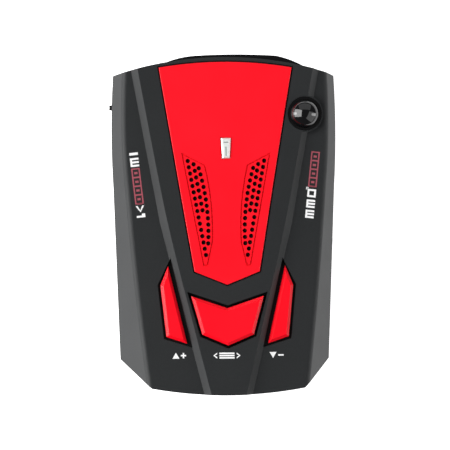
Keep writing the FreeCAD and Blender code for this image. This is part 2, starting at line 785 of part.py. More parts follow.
def arrow(inward):
    """The outline of an outer cap, a slanted blade beside the hood, with its inner edge moved inward."""
    return [
        (size.arrow_half + size.arrow_tip_out - inward, arrow_y + size.arrow_tip),
        (size.arrow_half - size.arrow_heel_in - inward, arrow_y - size.arrow_heel),
        (size.arrow_half + size.arrow_toe_out, arrow_y - size.arrow_toe),
        (size.arrow_half + size.arrow_shoulder_out, arrow_y + size.arrow_shoulder),
    ]


ARROW = arrow(as_size(0.0))
ARROW_OPENING = arrow(size.key_gap_inner)

nose_tip = y_road + size.nose_proud
nose_flat_y = nose_tip - size.nose_flat_radius + root(
    size.nose_flat_radius * size.nose_flat_radius - size.nose_flat_half * size.nose_flat_half
)
nose_left, nose_right = size.nose_shift - size.nose_half, size.nose_shift + size.nose_half


def road_face(x):
    """The road end's y at this distance from the centre line."""
    return y_road - road_radius + root(road_radius * road_radius - x * x)


NOSE = [
    (nose_left, y_road - size.nose_back),
    (nose_right, y_road - size.nose_back),
    (nose_right, road_face(nose_right), size.nose_shoulder_radius, 1),
    (size.nose_shift + size.nose_flat_half, nose_flat_y, size.nose_flat_radius, 1),
    (size.nose_shift - size.nose_flat_half, nose_flat_y, size.nose_shoulder_radius, 1),
    (nose_left, road_face(nose_left)),
]

dome_x = half - size.dome_inset - size.dome_radius
dome_y = y_road - size.dome_back
ring_top = crown(dome_y, hood_top) + size.ring_proud
ring_inner = size.dome_radius + size.ring_gap
ring_outer = ring_inner + size.ring_wide
ring_hole = ring_outer + size.ring_gap

# Case screws, right-hand side: (x, y). The left-hand ones mirror them.
SCREWS = [(half - 15.1, y_road - 9.15), (half - 8.1, y_driver + 16.85)]
BOARD_SCREWS = [(half - 10.1, y_road - 44.15), (half - 10.1, y_driver + 24.85)]
FEET = [(half - 10.1, y_road - 26.15), (half - 18.1, y_driver + 10.85)]
slider_y = y_road - size.slider_back
jack_y = y_road - size.jack_back
plate_y = -size.plate_back
board_high = size.board_low + size.board_thick
speaker_y = y_driver + size.speaker_front
speaker_low = board_high + size.speaker_room
speaker_high = crown(speaker_y + size.speaker_radius, -size.wall) - size.speaker_room
horn_back = speaker_y + size.speaker_radius + 2
horn_front = y_road - size.horn_inset
horn_high = size.road_height - size.wall - size.horn_room
# Deepest point of the display window's lip, and the level of the ceiling over it.
lip_back = y_driver + size.driver_drop + size.wall + size.display_lip
lip_ceiling = crown(lip_back, -size.wall)
slot_back = y_road - size.slot_long
# The display module's face, just behind the window's lip at the module's corners.
lip_radius = driver_radius - size.wall - size.display_lip
lip_bow = root(lip_radius * lip_radius - size.led_half * size.led_half)
led_back = y_driver + driver_radius - lip_bow + size.led_room


# Case -----------------------------------------------------------------------------------------


def straight_lane(start, count, inset, pitch):
    """Perforations beside the blade's straight edge, from `start` behind its tip."""
    slant = (size.blade_tip_half - size.blade_end_half - size.blade_end_wide) / size.blade_long
    for i in range(count):
        along = pitch * i
        x = size.blade_tip_half - inset - slant * along
        yield x, blade_tip - start - along, size.hole_radius


def curved_lane(count):
    """Perforations that follow the blade's bowed inner edge."""
    across = size.blade_shoulder_half - size.blade_turn_half
    along = blade_shoulder - blade_turn
    chord = root(across * across + along * along)
    rise = root(size.blade_radius * size.blade_radius - chord * chord / 4) / chord
    centre_x = (size.blade_shoulder_half + size.blade_turn_half) / 2 + along * rise
    centre_y = (blade_shoulder + blade_turn) / 2 - across * rise
    lane = size.blade_radius - size.hole_inset
    for i in range(count):
        y = blade_shoulder - size.hole_inner_start - size.hole_pitch * i
        outward = size.hole_spread * (1 - i / (count - 1)) ** 2
        yield centre_x - root(lane * lane - (y - centre_y) * (y - centre_y)) + outward, y, size.hole_radius


def blade_holes(name, low, high):
    """All perforations of the right-hand blade."""
    middle_inset = size.hole_side + size.hole_side_step
    circles = [
        *straight_lane(size.hole_start, 16, size.hole_side, size.hole_pitch),
        *straight_lane(size.hole_middle_start, 8, middle_inset, size.hole_middle_pitch),
        *curved_lane(13),
    ]
    return plate(name, low, high, circles=circles)


def display_opening(name, grow, low, high):
    """A box across the driver end, as wide and tall as the display window."""
    return box(
        name,
        -size.display_half - grow,
        size.display_half + grow,
        -reach,
        y_driver + 12,
        low,
        high,
    )


def both_sides(name, pieces):
    """The given pieces with their mirror images, as one group."""
    return group(name, *pieces, *[mirrored(f"{piece.Name}Left", piece) for piece in pieces])


def make_top_shell():
    wings = wing_block("Wings", None, size.wing_round)
    footprint = plate("UpperPlan", parting, tall, OUTLINE)
    block = common("UpperBlock", wings, footprint)
    hood = common("HoodOnCase", hood_block(), footprint)
    land_high = crown(dome_y, hood_top) - parting
    land = rod("DomeLand", (dome_x, dome_y, parting), land_high, ring_hole + size.land_wide)
    solid = fuse("UpperSolid", block, hood, land)
    room = common(
        "UpperRoom",
        wing_block("WingsInside", size.wall),
        plate("UpperPlanInside", parting - 1, tall, OUTLINE, grow=-size.wall),
    )
    bosses = [
        rod(f"Boss{i}", (x, y, parting), tall - parting, size.post_radius - size.boss_step)
        for i, (x, y) in enumerate(SCREWS)
    ]
    inside_block = common("BossesInCase", both_sides("Bosses", bosses), block)
    pilot_long = size.screw_grip + size.pilot_spare
    pilots = [
        rod(f"Pilot{i}", (x, y, parting - 1), pilot_long + 1, size.shank_radius + size.shank_gap)
        for i, (x, y) in enumerate(SCREWS)
    ]
    recess_low = hood_top + size.panel_proud - size.panel_thick
    recess = crowned("PanelRecess", PANEL, recess_low, over, grow=size.panel_gap)
    window = plate("BladeWindow", parting, tall, BLADE, grow=size.window_grow)
    arrow_hole = plate("ArrowHole", parting, tall, ARROW_OPENING, grow=size.key_gap)
    return cut(
        "TopShell",
        fuse("ShellAndBosses", cut("ShellWalls", solid, room), inside_block),
        recess,
        pair("BladeWindows", window),
        plate("MenuHole", parting, tall, MENU, grow=size.key_gap),
        pair("ArrowHoles", arrow_hole),
        rod("DomeHole", (dome_x, dome_y, parting), tall - parting, ring_hole),
        plate("NoseNotch", parting - 1, size.nose_high + size.window_gap, NOSE, grow=size.window_gap),
        display_opening("DisplayHole", 0, size.display_low, size.display_high),
        both_sides("Pilots", pilots),
    )


def lower_block(name, low, inward, rounding=None):
    """The drafted lower block, from its floor up to the shadow gap under the parting plane."""
    high = parting - size.seam_high if inward is None else parting
    body = doc.addObject("PartDesign::Body", name)
    pad = body.newObject("PartDesign::Pad", f"{name}Pad")
    pad.Profile = sketch_on(body, "XY", high, OUTLINE, grow=None if inward is None else -inward)
    pad.Reversed = True
    drive(pad, "Length", high - low)
    drive(pad, "TaperAngle", -size.lower_draft)
    if rounding is not None:
        doc.recompute()
        edges = [
            f"Edge{number}"
            for number, edge in enumerate(body.Shape.Edges, start=1)
            if all(abs(v.Z - low.value) < 0.01 for v in edge.Vertexes)
        ]
        fillet = body.newObject("PartDesign::Fillet", f"{name}Fillet")
        fillet.Base = (pad, edges)
        drive(fillet, "Radius", rounding)
    return body


def slider_slot():
    """The slot in the left-hand wall that the switch's knob slides in."""
    reach_out = size.slider_side / 2 + size.slider_gap
    return box(
        "SliderSlot",
        -half - 2,
        -half + size.wall + 2,
        slider_y - size.slider_travel - reach_out,
        slider_y + reach_out,
        size.slider_height - reach_out,
        size.slider_height + reach_out,
    )


def make_bottom_shell():
    block = lower_block("LowerBlock", floor_low, None, size.floor_round)
    rim_low = parting - size.seam_high - size.seam_overlap
    rim = plate("LowerRim", rim_low, parting, OUTLINE, grow=-size.seam_deep)
    solid = fuse("LowerSolid", block, rim)
    shell = cut("LowerWalls", solid, lower_block("LowerRoom", floor_high, size.wall))
    posts = [
        rod(f"Post{i}", (x, y, floor_low), parting - floor_low, size.post_radius)
        for i, (x, y) in enumerate(SCREWS)
    ]
    stands = [
        rod(f"Stand{i}", (x, y, floor_low), size.board_low - floor_low, size.stand_radius)
        for i, (x, y) in enumerate(BOARD_SCREWS)
    ]
    slot_low = floor_low + size.slot_lip
    slot_high = slot_low + size.slot_tall
    slot_half = size.slot_wide / 2
    mouth_half = size.slot_mouth / 2
    slot_block = box(
        "SlotBlock",
        -slot_half - size.wall,
        slot_half + size.wall,
        slot_back - size.wall,
        y_road,
        floor_low,
        slot_high + size.slot_roof,
    )
    rods = both_sides("Rods", posts + stands)
    uprights = common("Uprights", group("UprightRods", rods, slot_block), solid)
    drills = []
    for i, (x, y) in enumerate(SCREWS):
        drills.append(rod(f"Clearance{i}", (x, y, 0), parting + 1, size.clear_radius))
        drills.append(rod(f"Counterbore{i}", (x, y, 0), size.counterbore_high, size.counterbore_radius))
    pilot_low = size.board_low - size.board_screw_grip - size.pilot_spare
    pilot_long = size.board_low + 1 - pilot_low
    pilot_radius = size.shank_radius + size.shank_gap
    for i, (x, y) in enumerate(BOARD_SCREWS):
        drills.append(rod(f"StandPilot{i}", (x, y, pilot_low), pilot_long, pilot_radius))
    for i, (x, y) in enumerate(FEET):
        recess_high = floor_low + size.foot_sunk
        drills.append(rod(f"FootRecess{i}", (x, y, 0), recess_high, size.foot_radius + size.foot_gap))
    gap = size.plate_gap
    label = box(
        "LabelRecess",
        -size.plate_long / 2 - gap,
        size.plate_long / 2 + gap,
        plate_y - size.plate_wide / 2 - gap,
        plate_y + size.plate_wide / 2 + gap,
        0,
        floor_low + size.plate_thick,
    )
    return cut(
        "BottomShell",
        fuse("LowerShellAndPosts", shell, uprights),
        both_sides("Drills", drills),
        box("SlotWide", -slot_half, slot_half, slot_back, reach, slot_low, slot_high),
        box("SlotMouth", -mouth_half, mouth_half, slot_back, reach, 0, slot_low + 0.1),
        label,
        plate("LowerNoseNotch", size.nose_low - size.window_gap, tall, NOSE, grow=size.window_gap),
        slider_slot(),
        rod("JackHole", (half - 8, jack_y, size.jack_height), 20, size.jack_radius + size.window_gap, "X"),
    )


def make_panel():
    top = hood_top + size.panel_proud
    low = top - size.panel_thick + size.bedding
    slab = crowned("PanelSlab", PANEL, low, top, rounding=size.panel_round)
    field = crowned("BladeField", BLADE, top - size.groove_deep, over)
    island = plate("BladeIsland", parting, tall, BLADE, grow=-size.groove_wide)
    groove = cut("BladeGroove", field, island)
    holes = blade_holes("BladeHoles", parting, tall)
    recess = crowned("BadgeRecess", BADGE, top - size.badge_deep, over, grow=size.badge_gap)
    return cut("CentrePanel", slab, pair("BladeGrooves", groove), pair("BothBladeHoles", holes), recess)


def make_badge():
    top = hood_top + size.panel_proud
    low = top - size.badge_deep + size.bedding
    return crowned("BadgeInsert", BADGE, low, top + size.badge_proud, bevel=size.badge_bevel)


def make_cloth():
    top = hood_top + size.panel_proud - size.panel_thick
    patch = crowned("ClothPatch", BLADE, top - size.cloth_thick, top, grow=size.cloth_grow)
    return pair("GrilleCloth", patch)


def make_key(name, outline, stem, surface):
    """A red cap on a black base with a stem. The cap stands above `surface`, its neighbour's level."""
    base_top = -(size.wall + size.key_slack)
    cap = crowned(f"{name}Cap", outline, base_top, surface + size.key_proud, bevel=size.key_bevel)
    base_low = base_top - size.key_base_thick
    base = crowned(f"{name}BasePlate", outline, base_low, base_top - size.bedding, grow=size.key_flange)
    x, y = stem
    foot = board_high + size.plunger_top
    stalk_long = crown(y, base_low) - foot + size.key_base_thick / 3
    stalk = rod(f"{name}Stem", (x, y, foot), stalk_long, size.key_stem_radius)
    plunger = rod(
        f"{name}Plunger",
        (x, y, board_high + size.plunger_bottom),
        size.plunger_top - size.plunger_bottom,
        size.plunger_radius,
    )
    return cap, fuse(f"{name}Base", base, stalk), plunger


def make_keys():
    zero = as_size(0.0)
    stems = {"up": (-size.arrow_half, arrow_y), "menu": (zero, menu_y), "down": (size.arrow_half, arrow_y)}
    left_arrow = [(-x, y) for x, y in (ARROW[0], *reversed(ARROW[1:]))]
    outlines = {"up": left_arrow, "menu": MENU, "down": ARROW}
    for key, stem in stems.items():
        surface = hood_top if key == "menu" else zero
        cap, base, plunger = make_key(key.capitalize(), outlines[key], stem, surface)
        node(f"{key}_button_cap", cap)
        node(f"{key}_button_base", base)
        node(f"{key}_switch_plunger", plunger)
    bodies = []
    for key, (x, y) in stems.items():
        edge = size.switch_side / 2
        title = f"{key.capitalize()}Switch"
        top = board_high + size.switch_tall
        body = box(f"{title}Box", x - edge, x + edge, y - edge, y + edge, board_high, top)
        floor = board_high + size.plunger_bottom - size.key_travel - size.plunger_slack
        well = rod(f"{title}Well", (x, y, floor), top + 1 - floor, size.plunger_radius + size.plunger_slack)
        bodies.append(cut(title, body, well))
    node("switch_bodies", group("SwitchBodies", *bodies))


def make_dome():
    """A hollow half-dome on a barrel, held by a flange under the shell; the ring dresses its hole."""
    flange_radius = ring_hole + size.flange_wide
    flange_top = crown(dome_y + flange_radius, -size.wall) - size.flange_room
    dome = size.dome_tall
    radius = (size.dome_radius * size.dome_radius + dome * dome) / (2 * dome)
    body = doc.addObject("PartDesign::Body", "DomeLens")
    skin = size.dome_skin
    inner = size.dome_radius - skin
    low = flange_top - size.flange_thick
    inner_ball = radius - skin
    inner_start = ring_top + dome - radius + root(inner_ball * inner_ball - inner * inner)
    half_section = [
        (inner, low),
        (flange_radius, low),
        (flange_radius, flange_top),
        (size.dome_radius, flange_top),
        (size.dome_radius, ring_top, radius, 1),
        (as_size(0.0), ring_top + dome),
        (as_size(0.0), ring_top + dome - skin, inner_ball, -1),
        (inner, inner_start),
    ]
    turn = body.newObject("PartDesign::Revolution", "DomeTurn")
    turn.Profile = sketch_on(body, "XZ", corners=half_section)
    turn.ReferenceAxis = (turn.Profile[0], ["V_Axis"])
    turn.Angle = 360
    drive(body, ".Placement.Base.x", dome_x)
    drive(body, ".Placement.Base.y", dome_y)
    node("dome_lens", body)
    ring_low = flange_top + size.bedding
    ring = cut(
        "DomeRing",
        rod("RingOuter", (dome_x, dome_y, ring_low), ring_top - ring_low, ring_outer),
        rod("RingInner", (dome_x, dome_y, flange_top), tall - flange_top, ring_inner),
    )
    node("dome_ring", ring)
    along, across = size.sensor_half, size.sensor_half * 0.8
    deck = board_high + size.sensor_thick
    sensor = fuse(
        "DomeSensor",
        box(
            "SensorBase",
            dome_x - along,
            dome_x + along,
            dome_y - across,
            dome_y + across,
            board_high,
            deck,
        ),
        rod("SensorEye", (dome_x, dome_y, board_high), 2 * size.sensor_thick, size.sensor_half / 2),
    )
    node("dome_sensor", sensor)


def display_rim(name, outer, inner):
    """A slice that follows the driver end, between two distances inside its face."""
    return cut(
        name,
        plate(f"{name}Outer", parting, tall, OUTLINE, grow=outer),
        plate(f"{name}Inner", parting, tall, OUTLINE, grow=-inner),
    )


def make_windows():
    """The road window is one block. The display window is a pane in the wall with a wider lip behind it."""
    node("road_window", plate("RoadWindow", size.nose_low, size.nose_high, NOSE))
    gap = size.window_gap
    lip = size.display_lip
    pane_box = display_opening("PaneBox", -gap, size.display_low + gap, size.display_high - gap)
    lip_box = display_opening("LipBox", lip, size.display_low - lip, lip_ceiling - gap)
    pane = display_rim("DisplaySkin", None, size.wall + 2 * size.bedding)
    edge = display_rim("DisplayLip", -size.wall - size.bedding, size.wall + lip)
    window = fuse(
        "DisplayWindow",
        common("DisplayPane", pane, pane_box),
        common("DisplayEdge", edge, lip_box),
    )
    node("display_window", window)


# Inside ---------------------------------------------------------------------------------------


def make_main_board():
    """The main board has two arms beside the horn antenna and a hole for the speaker's magnet."""
    front = SCREWS[0][1] - size.post_radius - 0.2
    inner = size.board_arm_inner
    outer = half - size.board_inset
    notch_y = SCREWS[1][1] + size.post_radius + 1
    notch_x = SCREWS[1][0] - size.post_radius - 1
    back = led_back + size.led_deep + 0.5
    outline = [
        (-notch_x, back),
        (notch_x, back),
        (notch_x, notch_y),
        (outer, notch_y),
        (outer, front),
        (inner, front),
        (inner, horn_back),
        (-inner, horn_back),
        (-inner, front),
        (-outer, front),
        (-outer, notch_y),
        (-notch_x, notch_y),
    ]
    board = plate("MainBoardBlank", size.board_low, board_high, outline)
    under = size.board_low - 1
    drills = [
        rod(f"BoardHole{i}", (x, y, under), size.board_thick + 2, size.clear_radius)
        for i, (x, y) in enumerate(BOARD_SCREWS)
    ]
    magnet_room = size.magnet_radius + size.magnet_room
    magnet = rod("MagnetHole", (0, speaker_y, under), size.board_thick + 2, magnet_room)
    node("main_board", cut("MainBoard", board, magnet, both_sides("BoardHoles", drills)))


def make_components():
    """The larger components that stand on the main board."""
    low = board_high
    side = size.chip_side / 2
    chip_front = speaker_y - size.speaker_radius - size.chip_space
    chip_top = low + size.chip_thick
    chip = box("Chip", -side, side, chip_front - 2 * side, chip_front, low, chip_top)
    dot = rod("ChipDot", (1 - side, chip_front - 1, chip_top - 0.1), 1, 0.5)
    node("microcontroller", cut("Microcontroller", chip, dot))
    crystal_x = side + size.crystal_space
    crystal_y = chip_front - side
    crystal = box(
        "CrystalCan",
        crystal_x,
        crystal_x + size.crystal_long,
        crystal_y - size.crystal_deep / 2,
        crystal_y + size.crystal_deep / 2,
        low,
        low + size.crystal_tall,
    )
    node("crystal", crystal)
    cans = []
    can_x = half - size.capacitor_side
    can_front = speaker_y - size.capacitor_back
    can_next = can_front - size.capacitor_pitch
    vent_low = low + size.capacitor_tall - size.vent_deep
    vent_radius = size.capacitor_radius - size.vent_rim
    for i, (x, y) in enumerate([(can_x, can_front), (can_x, can_next), (-can_x, can_next)]):
        can = rod(f"Capacitor{i}", (x, y, low), size.capacitor_tall, size.capacitor_radius)
        vent = rod(f"CapacitorTop{i}", (x, y, vent_low), 1, vent_radius)
        cans.append(cut(f"CapacitorCan{i}", can, vent))
    node("electrolytic_capacitors", group("ElectrolyticCapacitors", *cans))
    x, y = -can_x, speaker_y - 1
    wide = size.regulator_half
    body = box("RegulatorBody", x - wide, x + wide, y - wide, y + wide, low, low + size.regulator_thick)
    tab_half = wide - 0.6
    tab_end = y + wide + size.tab_long
    tab = box("RegulatorTab", x - tab_half, x + tab_half, y + wide, tab_end, low, low + size.tab_thick)
    node("voltage_regulator", fuse("VoltageRegulator", body, tab))


def make_radar():
    """A cast horn antenna open to the road, with its radio board and screening can behind it."""
    skin = size.horn_skin
    low, high = size.horn_low + skin, horn_high - skin
    across = size.horn_half
    mouth = box("HornOuter", -across, across, horn_back, horn_front, size.horn_low, horn_high)
    throat = size.throat_half
    throat_end = horn_back + size.throat_long
    lips = across - skin
    flare = [
        (-throat, throat_end),
        (throat, throat_end),
        (lips, horn_front),
        (lips, horn_front + 5),
        (-lips, horn_front + 5),
        (-lips, horn_front),
    ]
    hollow = plate("HornHollow", low, high, flare)
    guide = box("HornGuide", -throat, throat, horn_back + skin, throat_end + 0.5, low, high)
    node("horn_antenna", cut("HornAntenna", mouth, hollow, guide))
    deck_back = horn_back - size.radio_thick
    deck_half = across - 1
    deck_high = size.board_low - size.board_clear
    deck = box("RadioDeck", -deck_half, deck_half, deck_back, horn_back, size.horn_low, deck_high)
    node("rf_board", deck)
    wide, sheet = size.shield_half, size.shield_skin
    can_back = deck_back - size.shield_deep
    can_low, can_high = size.horn_low + size.shield_inset, deck_high - size.shield_inset
    can = box("ShieldOuter", -wide, wide, can_back, deck_back, can_low, can_high)
    room_half = wide - sheet
    room_back = can_back + sheet
    room_low, room_high = can_low + sheet, can_high - sheet
    room = box("ShieldRoom", -room_half, room_half, room_back, deck_back + 1, room_low, room_high)
    node("shield_can", cut("ShieldCan", can, room))


def make_laser():
    """Two light receivers on a small board across the top of the horn's mouth."""
    board_back = horn_front + size.bedding
    board_front = board_back + size.laser_thick
    wide = size.laser_half
    low = horn_high - size.laser_high
    node("laser_board", box("LaserBoard", -wide, wide, board_back, board_front, low, horn_high))
    back = board_front + size.bedding
    middle = horn_high - size.laser_high / 2
    wide = size.eye_half
    low, high = middle - wide * 0.7, middle + wide * 0.7
    lens_radius = wide * 0.55
    front = back + 0.7
    eyes = []
    for i, x in enumerate((-size.eye_side, size.eye_side)):
        case = box(f"EyeCase{i}", x - wide, x + wide, back, front, low, high)
        lens = rod(f"EyeLens{i}", (x, back, middle), front + 0.5 - back, lens_radius, "Y")
        eyes.append(fuse(f"Eye{i}", case, lens))
    node("laser_receiver", group("LaserReceiver", *eyes))


def make_display():
    """Light segments behind the display window, on an upright board soldered to the main board."""
    front = led_back + size.led_deep
    low = board_high + size.led_low
    high = low + size.led_tall
    module = box("LedModule", -size.led_half, size.led_half, led_back, front, low, high)
    digits = []
    floor = led_back + size.digit_deep
    digit_low, digit_high = low + size.digit_rim, high - size.digit_rim
    for i in range(4):
        left = size.digit_pitch * (i - 1.5) - size.digit_half
        right = left + 2 * size.digit_half
        digits.append(box(f"Digit{i}", left, right, led_back - 1, floor, digit_low, digit_high))
    node("led_display", cut("LedDisplay", module, *digits))
    board_back = front + size.bedding
    board_front = board_back + size.upright_thick
    wide = size.upright_half
    foot = board_high + size.board_clear
    node("display_board", box("DisplayBoard", -wide, wide, board_back, board_front, foot, high))
    pins_back = board_front + size.bedding
    pins = []
    count = 10
    for i in range(count):
        left = size.pin_pitch * (i - (count - 1) / 2) - size.pin_side / 2
        right = left + size.pin_side
        top = board_high + size.pin_tall
        pins.append(box(f"PinUp{i}", left, right, pins_back, pins_back + size.pin_side, board_high, top))
    end = size.pin_pitch * count / 2
    strip_front = pins_back + size.pin_pitch
    strip = box("PinStrip", -end, end, pins_back, strip_front, board_high, board_high + size.header_tall)
    node("display_header", fuse("DisplayHeader", strip, *pins))


def make_speaker():
    """A shallow round speaker under the perforations, facing up, with a foam ring to the ceiling."""
    low, high = speaker_low, speaker_high
    x, y = 0, speaker_y
    radius = size.speaker_radius
    outer = rod("SpeakerOuter", (x, y, low), high - low, radius)
    floor = low + size.speaker_skin
    cup = rod("SpeakerCup", (x, y, floor), 10, radius - size.speaker_rim)
    node("speaker_frame", cut("SpeakerFrame", outer, cup))
    magnet_low = low - size.magnet_tall
    back_plate = size.speaker_skin
    magnet = fuse(
        "SpeakerMagnet",
        rod("MagnetDisc", (x, y, magnet_low), size.magnet_tall, size.magnet_radius),
        rod("MagnetPlate", (x, y, magnet_low - back_plate), back_plate, size.magnet_radius + 0.5),
    )
    node("speaker_magnet", magnet)
    body = doc.addObject("PartDesign::Body", "SpeakerCone")
    edge = radius - size.speaker_rim - 0.5
    base = floor + size.cone_travel + 0.3
    rim = base + size.cone_deep
    paper = size.cone_paper
    half_section = [
        (as_size(0.0), base),
        (size.coil_radius, base),
        (edge, rim),
        (edge, rim + paper),
        (size.coil_radius + 0.7, base + paper + 0.2),
        (as_size(0.0), base + 3 * paper),
    ]
    turn = body.newObject("PartDesign::Revolution", "ConeTurn")
    turn.Profile = sketch_on(body, "XZ", corners=half_section)
    turn.ReferenceAxis = (turn.Profile[0], ["V_Axis"])
    turn.Angle = 360
    drive(body, ".Placement.Base.y", speaker_y)
    node("speaker_cone", body)
    ring = cut(
        "GasketRing",
        rod("GasketOuter", (x, y, high), 10, radius - 0.4),
        rod("GasketInner", (x, y, high - 1), 12, radius - size.speaker_rim),
    )
    under = band("UnderCeiling", deep, -size.wall - size.gasket_room)
    node("speaker_gasket", common("SpeakerGasket", ring, under))
    front = y - radius - size.terminal_space
    wide = size.terminal_side / 2
    terminal = box("Terminal", -wide, wide, front - 2 * wide, front, board_high, board_high + 2)
    lead_start = front - 0.1
    leads = [
        rod(f"Lead{i}", (x_lead, lead_start, board_high + 1), size.lead_long, size.lead_radius, "Y")
        for i, x_lead in enumerate((-0.8, 0.8))
    ]
    node("speaker_wires", fuse("SpeakerWires", terminal, *leads))


def make_slider():
    """The power switch: a knob through the left-hand wall, on a carrier whose tongue enters a can."""
    x = -half + size.wall + size.slider_deep
    y, z = slider_y, size.slider_height
    side = size.slider_side / 2
    knob = box("KnobStem", -half - size.slider_proud, x, y - side, y + side, z - side, z + side)
    carrier_end = x + size.carrier_thick
    long, high = size.carrier_long / 2, size.carrier_high / 2
    carrier = box("KnobCarrier", x - size.carrier_lap, carrier_end, y - long, y + long, z - high, z + high)
    thin = size.tongue_side / 2
    tongue_end = carrier_end + size.tongue_long
    tongue = box("KnobTongue", carrier_end, tongue_end, y - thin, y + thin, z - thin, z + thin)
    node("power_slider_knob", fuse("PowerSliderKnob", knob, carrier, tongue))
    middle = y - size.slider_travel / 2
    can_x = carrier_end + 0.05
    can_end = can_x + size.switch_can_deep
    can_low = z - size.switch_can_high / 2
    can_high = can_low + size.switch_can_high
    can_half = size.switch_can_long / 2
    can = box("SliderCan", can_x, can_end, middle - can_half, middle + can_half, can_low, can_high)
    room = thin + size.slider_gap
    slot_half = size.slider_travel / 2 + room
    slot_end = tongue_end + size.slider_gap
    slot_low, slot_high = middle - slot_half, middle + slot_half
    slot = box("SliderCanSlot", can_x - 1, slot_end, slot_low, slot_high, z - room, z + room)
    leg = size.switch_leg / 2
    leg_x = can_end - 2 * leg
    legs = []
    for i in (-1, 0, 1):
        at = middle + i * size.switch_leg_pitch
        name = f"SliderLeg{i + 1}"
        legs.append(box(name, leg_x - leg, leg_x + leg, at - leg, at + leg, can_high - leg, size.board_low))
    node("slide_switch", fuse("SlideSwitch", cut("SliderCanBody", can, slot), *legs))


def make_jack():
    """The power inlet: a round nose in the right-hand wall, on a block under the main board."""
    back = half - size.jack_long
    nose_long = size.jack_long - size.jack_recess
    nose = rod("JackNose", (back, jack_y, size.jack_height), nose_long, size.jack_radius, "X")
    edge = size.jack_body / 2
    block = box(
        "JackBlock",
        back,
        half - size.wall - size.jack_space,
        jack_y - edge,
        jack_y + edge,
        size.jack_height - edge,
        size.board_low,
    )
    bore_start = half - size.jack_recess - size.jack_bore_long
    bore = rod("JackBore", (bore_start, jack_y, size.jack_height), 12, size.jack_bore, "X")
    node("power_jack", cut("PowerJack", fuse("JackSolid", nose, block), bore))


def screw(name, place, seat, long, up, head_radius):
    """A pan head with a cross recess on a plain shank. `seat` is the face that the head bears on."""
    x, y = place
    head_low = seat if up else seat - size.head_tall
    shank_low = seat - long if up else seat
    solid = fuse(
        f"{name}Solid",
        rod(f"{name}Head", (x, y, head_low), size.head_tall, head_radius),
        rod(f"{name}Shank", (x, y, shank_low), long, size.shank_radius),
    )
    low = head_low + size.head_tall - size.cross_deep if up else head_low - 1
    high = low + 1 + size.cross_deep
    long_side, short_side = size.cross_long, size.cross_wide
    bars = [
        box(f"{name}Bar{i}", x - w, x + w, y - d, y + d, low, high)
        for i, (w, d) in enumerate([(long_side, short_side), (short_side, long_side)])
    ]
    return cut(name, solid, *bars)


def make_screws():
    long = parting - size.counterbore_high + size.screw_grip
    case = [
        screw(f"CaseScrew{i}", place, size.counterbore_high, long, False, size.head_radius)
        for i, place in enumerate(SCREWS)
    ]
    node("case_screws", both_sides("CaseScrews", case))
    long = size.board_thick + size.board_screw_grip
    board = [
        screw(f"BoardScrew{i}", place, board_high, long, True, size.head_radius - 0.4)
        for i, place in enumerate(BOARD_SCREWS)
    ]
    node("board_screws", both_sides("BoardScrews", board))


def make_underside():
    high = size.foot_proud + size.foot_sunk
    pads = [rod(f"Foot{i}", (x, y, 0), high, size.foot_radius) for i, (x, y) in enumerate(FEET)]
    node("foot_pads", both_sides("FootPads", pads))
    label = box(
        "RatingPlate",
        -size.plate_long / 2,
        size.plate_long / 2,
        plate_y - size.plate_wide / 2,
        plate_y + size.plate_wide / 2,
        floor_low + size.bedding,
        floor_low + size.plate_thick,
    )
    node("rating_plate", label)


# Everything -----------------------------------------------------------------------------------

node("top_shell", make_top_shell())
node("bottom_shell", make_bottom_shell())
node("centre_panel", make_panel())
node("badge_insert", make_badge())
node("grille_cloth", make_cloth())
make_keys()
make_dome()
make_windows()
make_main_board()
make_components()
make_radar()
make_laser()
make_display()
make_speaker()
make_slider()
make_jack()
make_screws()
make_underside()


def check_document():
    """Stops on any object that failed to build and on any sub-part that is empty or broken."""
    doc.recompute()
    failed = [thing.Name for thing in doc.Objects if {"Invalid", "Error"} & set(thing.State)]
    bad = [thing.Label for thing in nodes if thing.Shape.isNull() or not thing.Shape.isValid()]
    if failed or bad:
        raise ValueError(f"failed: {failed}, not sound: {bad}")


check_document()
os.makedirs("parts", exist_ok=True)
for thing in nodes:
    thing.Shape.exportStep(f"parts/{thing.Label}.step")
    print(f"{thing.Label:26s} solids {len(thing.Shape.Solids)}  volume {thing.Shape.Volume:9.1f}")
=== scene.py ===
import math

import bmesh
import bpy
from mathutils import Matrix, Vector
from mathutils.bvhtree import BVHTree


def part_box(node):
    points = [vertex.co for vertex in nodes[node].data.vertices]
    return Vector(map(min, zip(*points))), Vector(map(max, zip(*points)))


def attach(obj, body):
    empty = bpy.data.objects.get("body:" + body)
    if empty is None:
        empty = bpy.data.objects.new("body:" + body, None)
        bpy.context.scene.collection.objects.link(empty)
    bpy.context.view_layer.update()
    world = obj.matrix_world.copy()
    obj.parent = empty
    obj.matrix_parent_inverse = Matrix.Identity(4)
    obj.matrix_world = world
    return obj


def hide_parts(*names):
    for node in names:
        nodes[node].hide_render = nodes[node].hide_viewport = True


MM = 0.001
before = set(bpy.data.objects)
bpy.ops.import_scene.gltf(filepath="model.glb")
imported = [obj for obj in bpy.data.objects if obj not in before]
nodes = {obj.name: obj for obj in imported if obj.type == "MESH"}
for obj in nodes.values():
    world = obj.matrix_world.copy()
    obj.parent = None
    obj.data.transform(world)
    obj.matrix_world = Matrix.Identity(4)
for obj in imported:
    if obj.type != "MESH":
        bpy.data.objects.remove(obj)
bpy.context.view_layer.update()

# Places on the case ---------------------------------------------------------------------------


def middle(node):
    low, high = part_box(node)
    return (Vector(low) + Vector(high)) / 2


jack = middle("power_jack")
knob = middle("power_slider_knob")
badge_low, badge_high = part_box("badge_insert")
plate_low, plate_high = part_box("rating_plate")


# Materials ------------------------------------------------------------------------------------


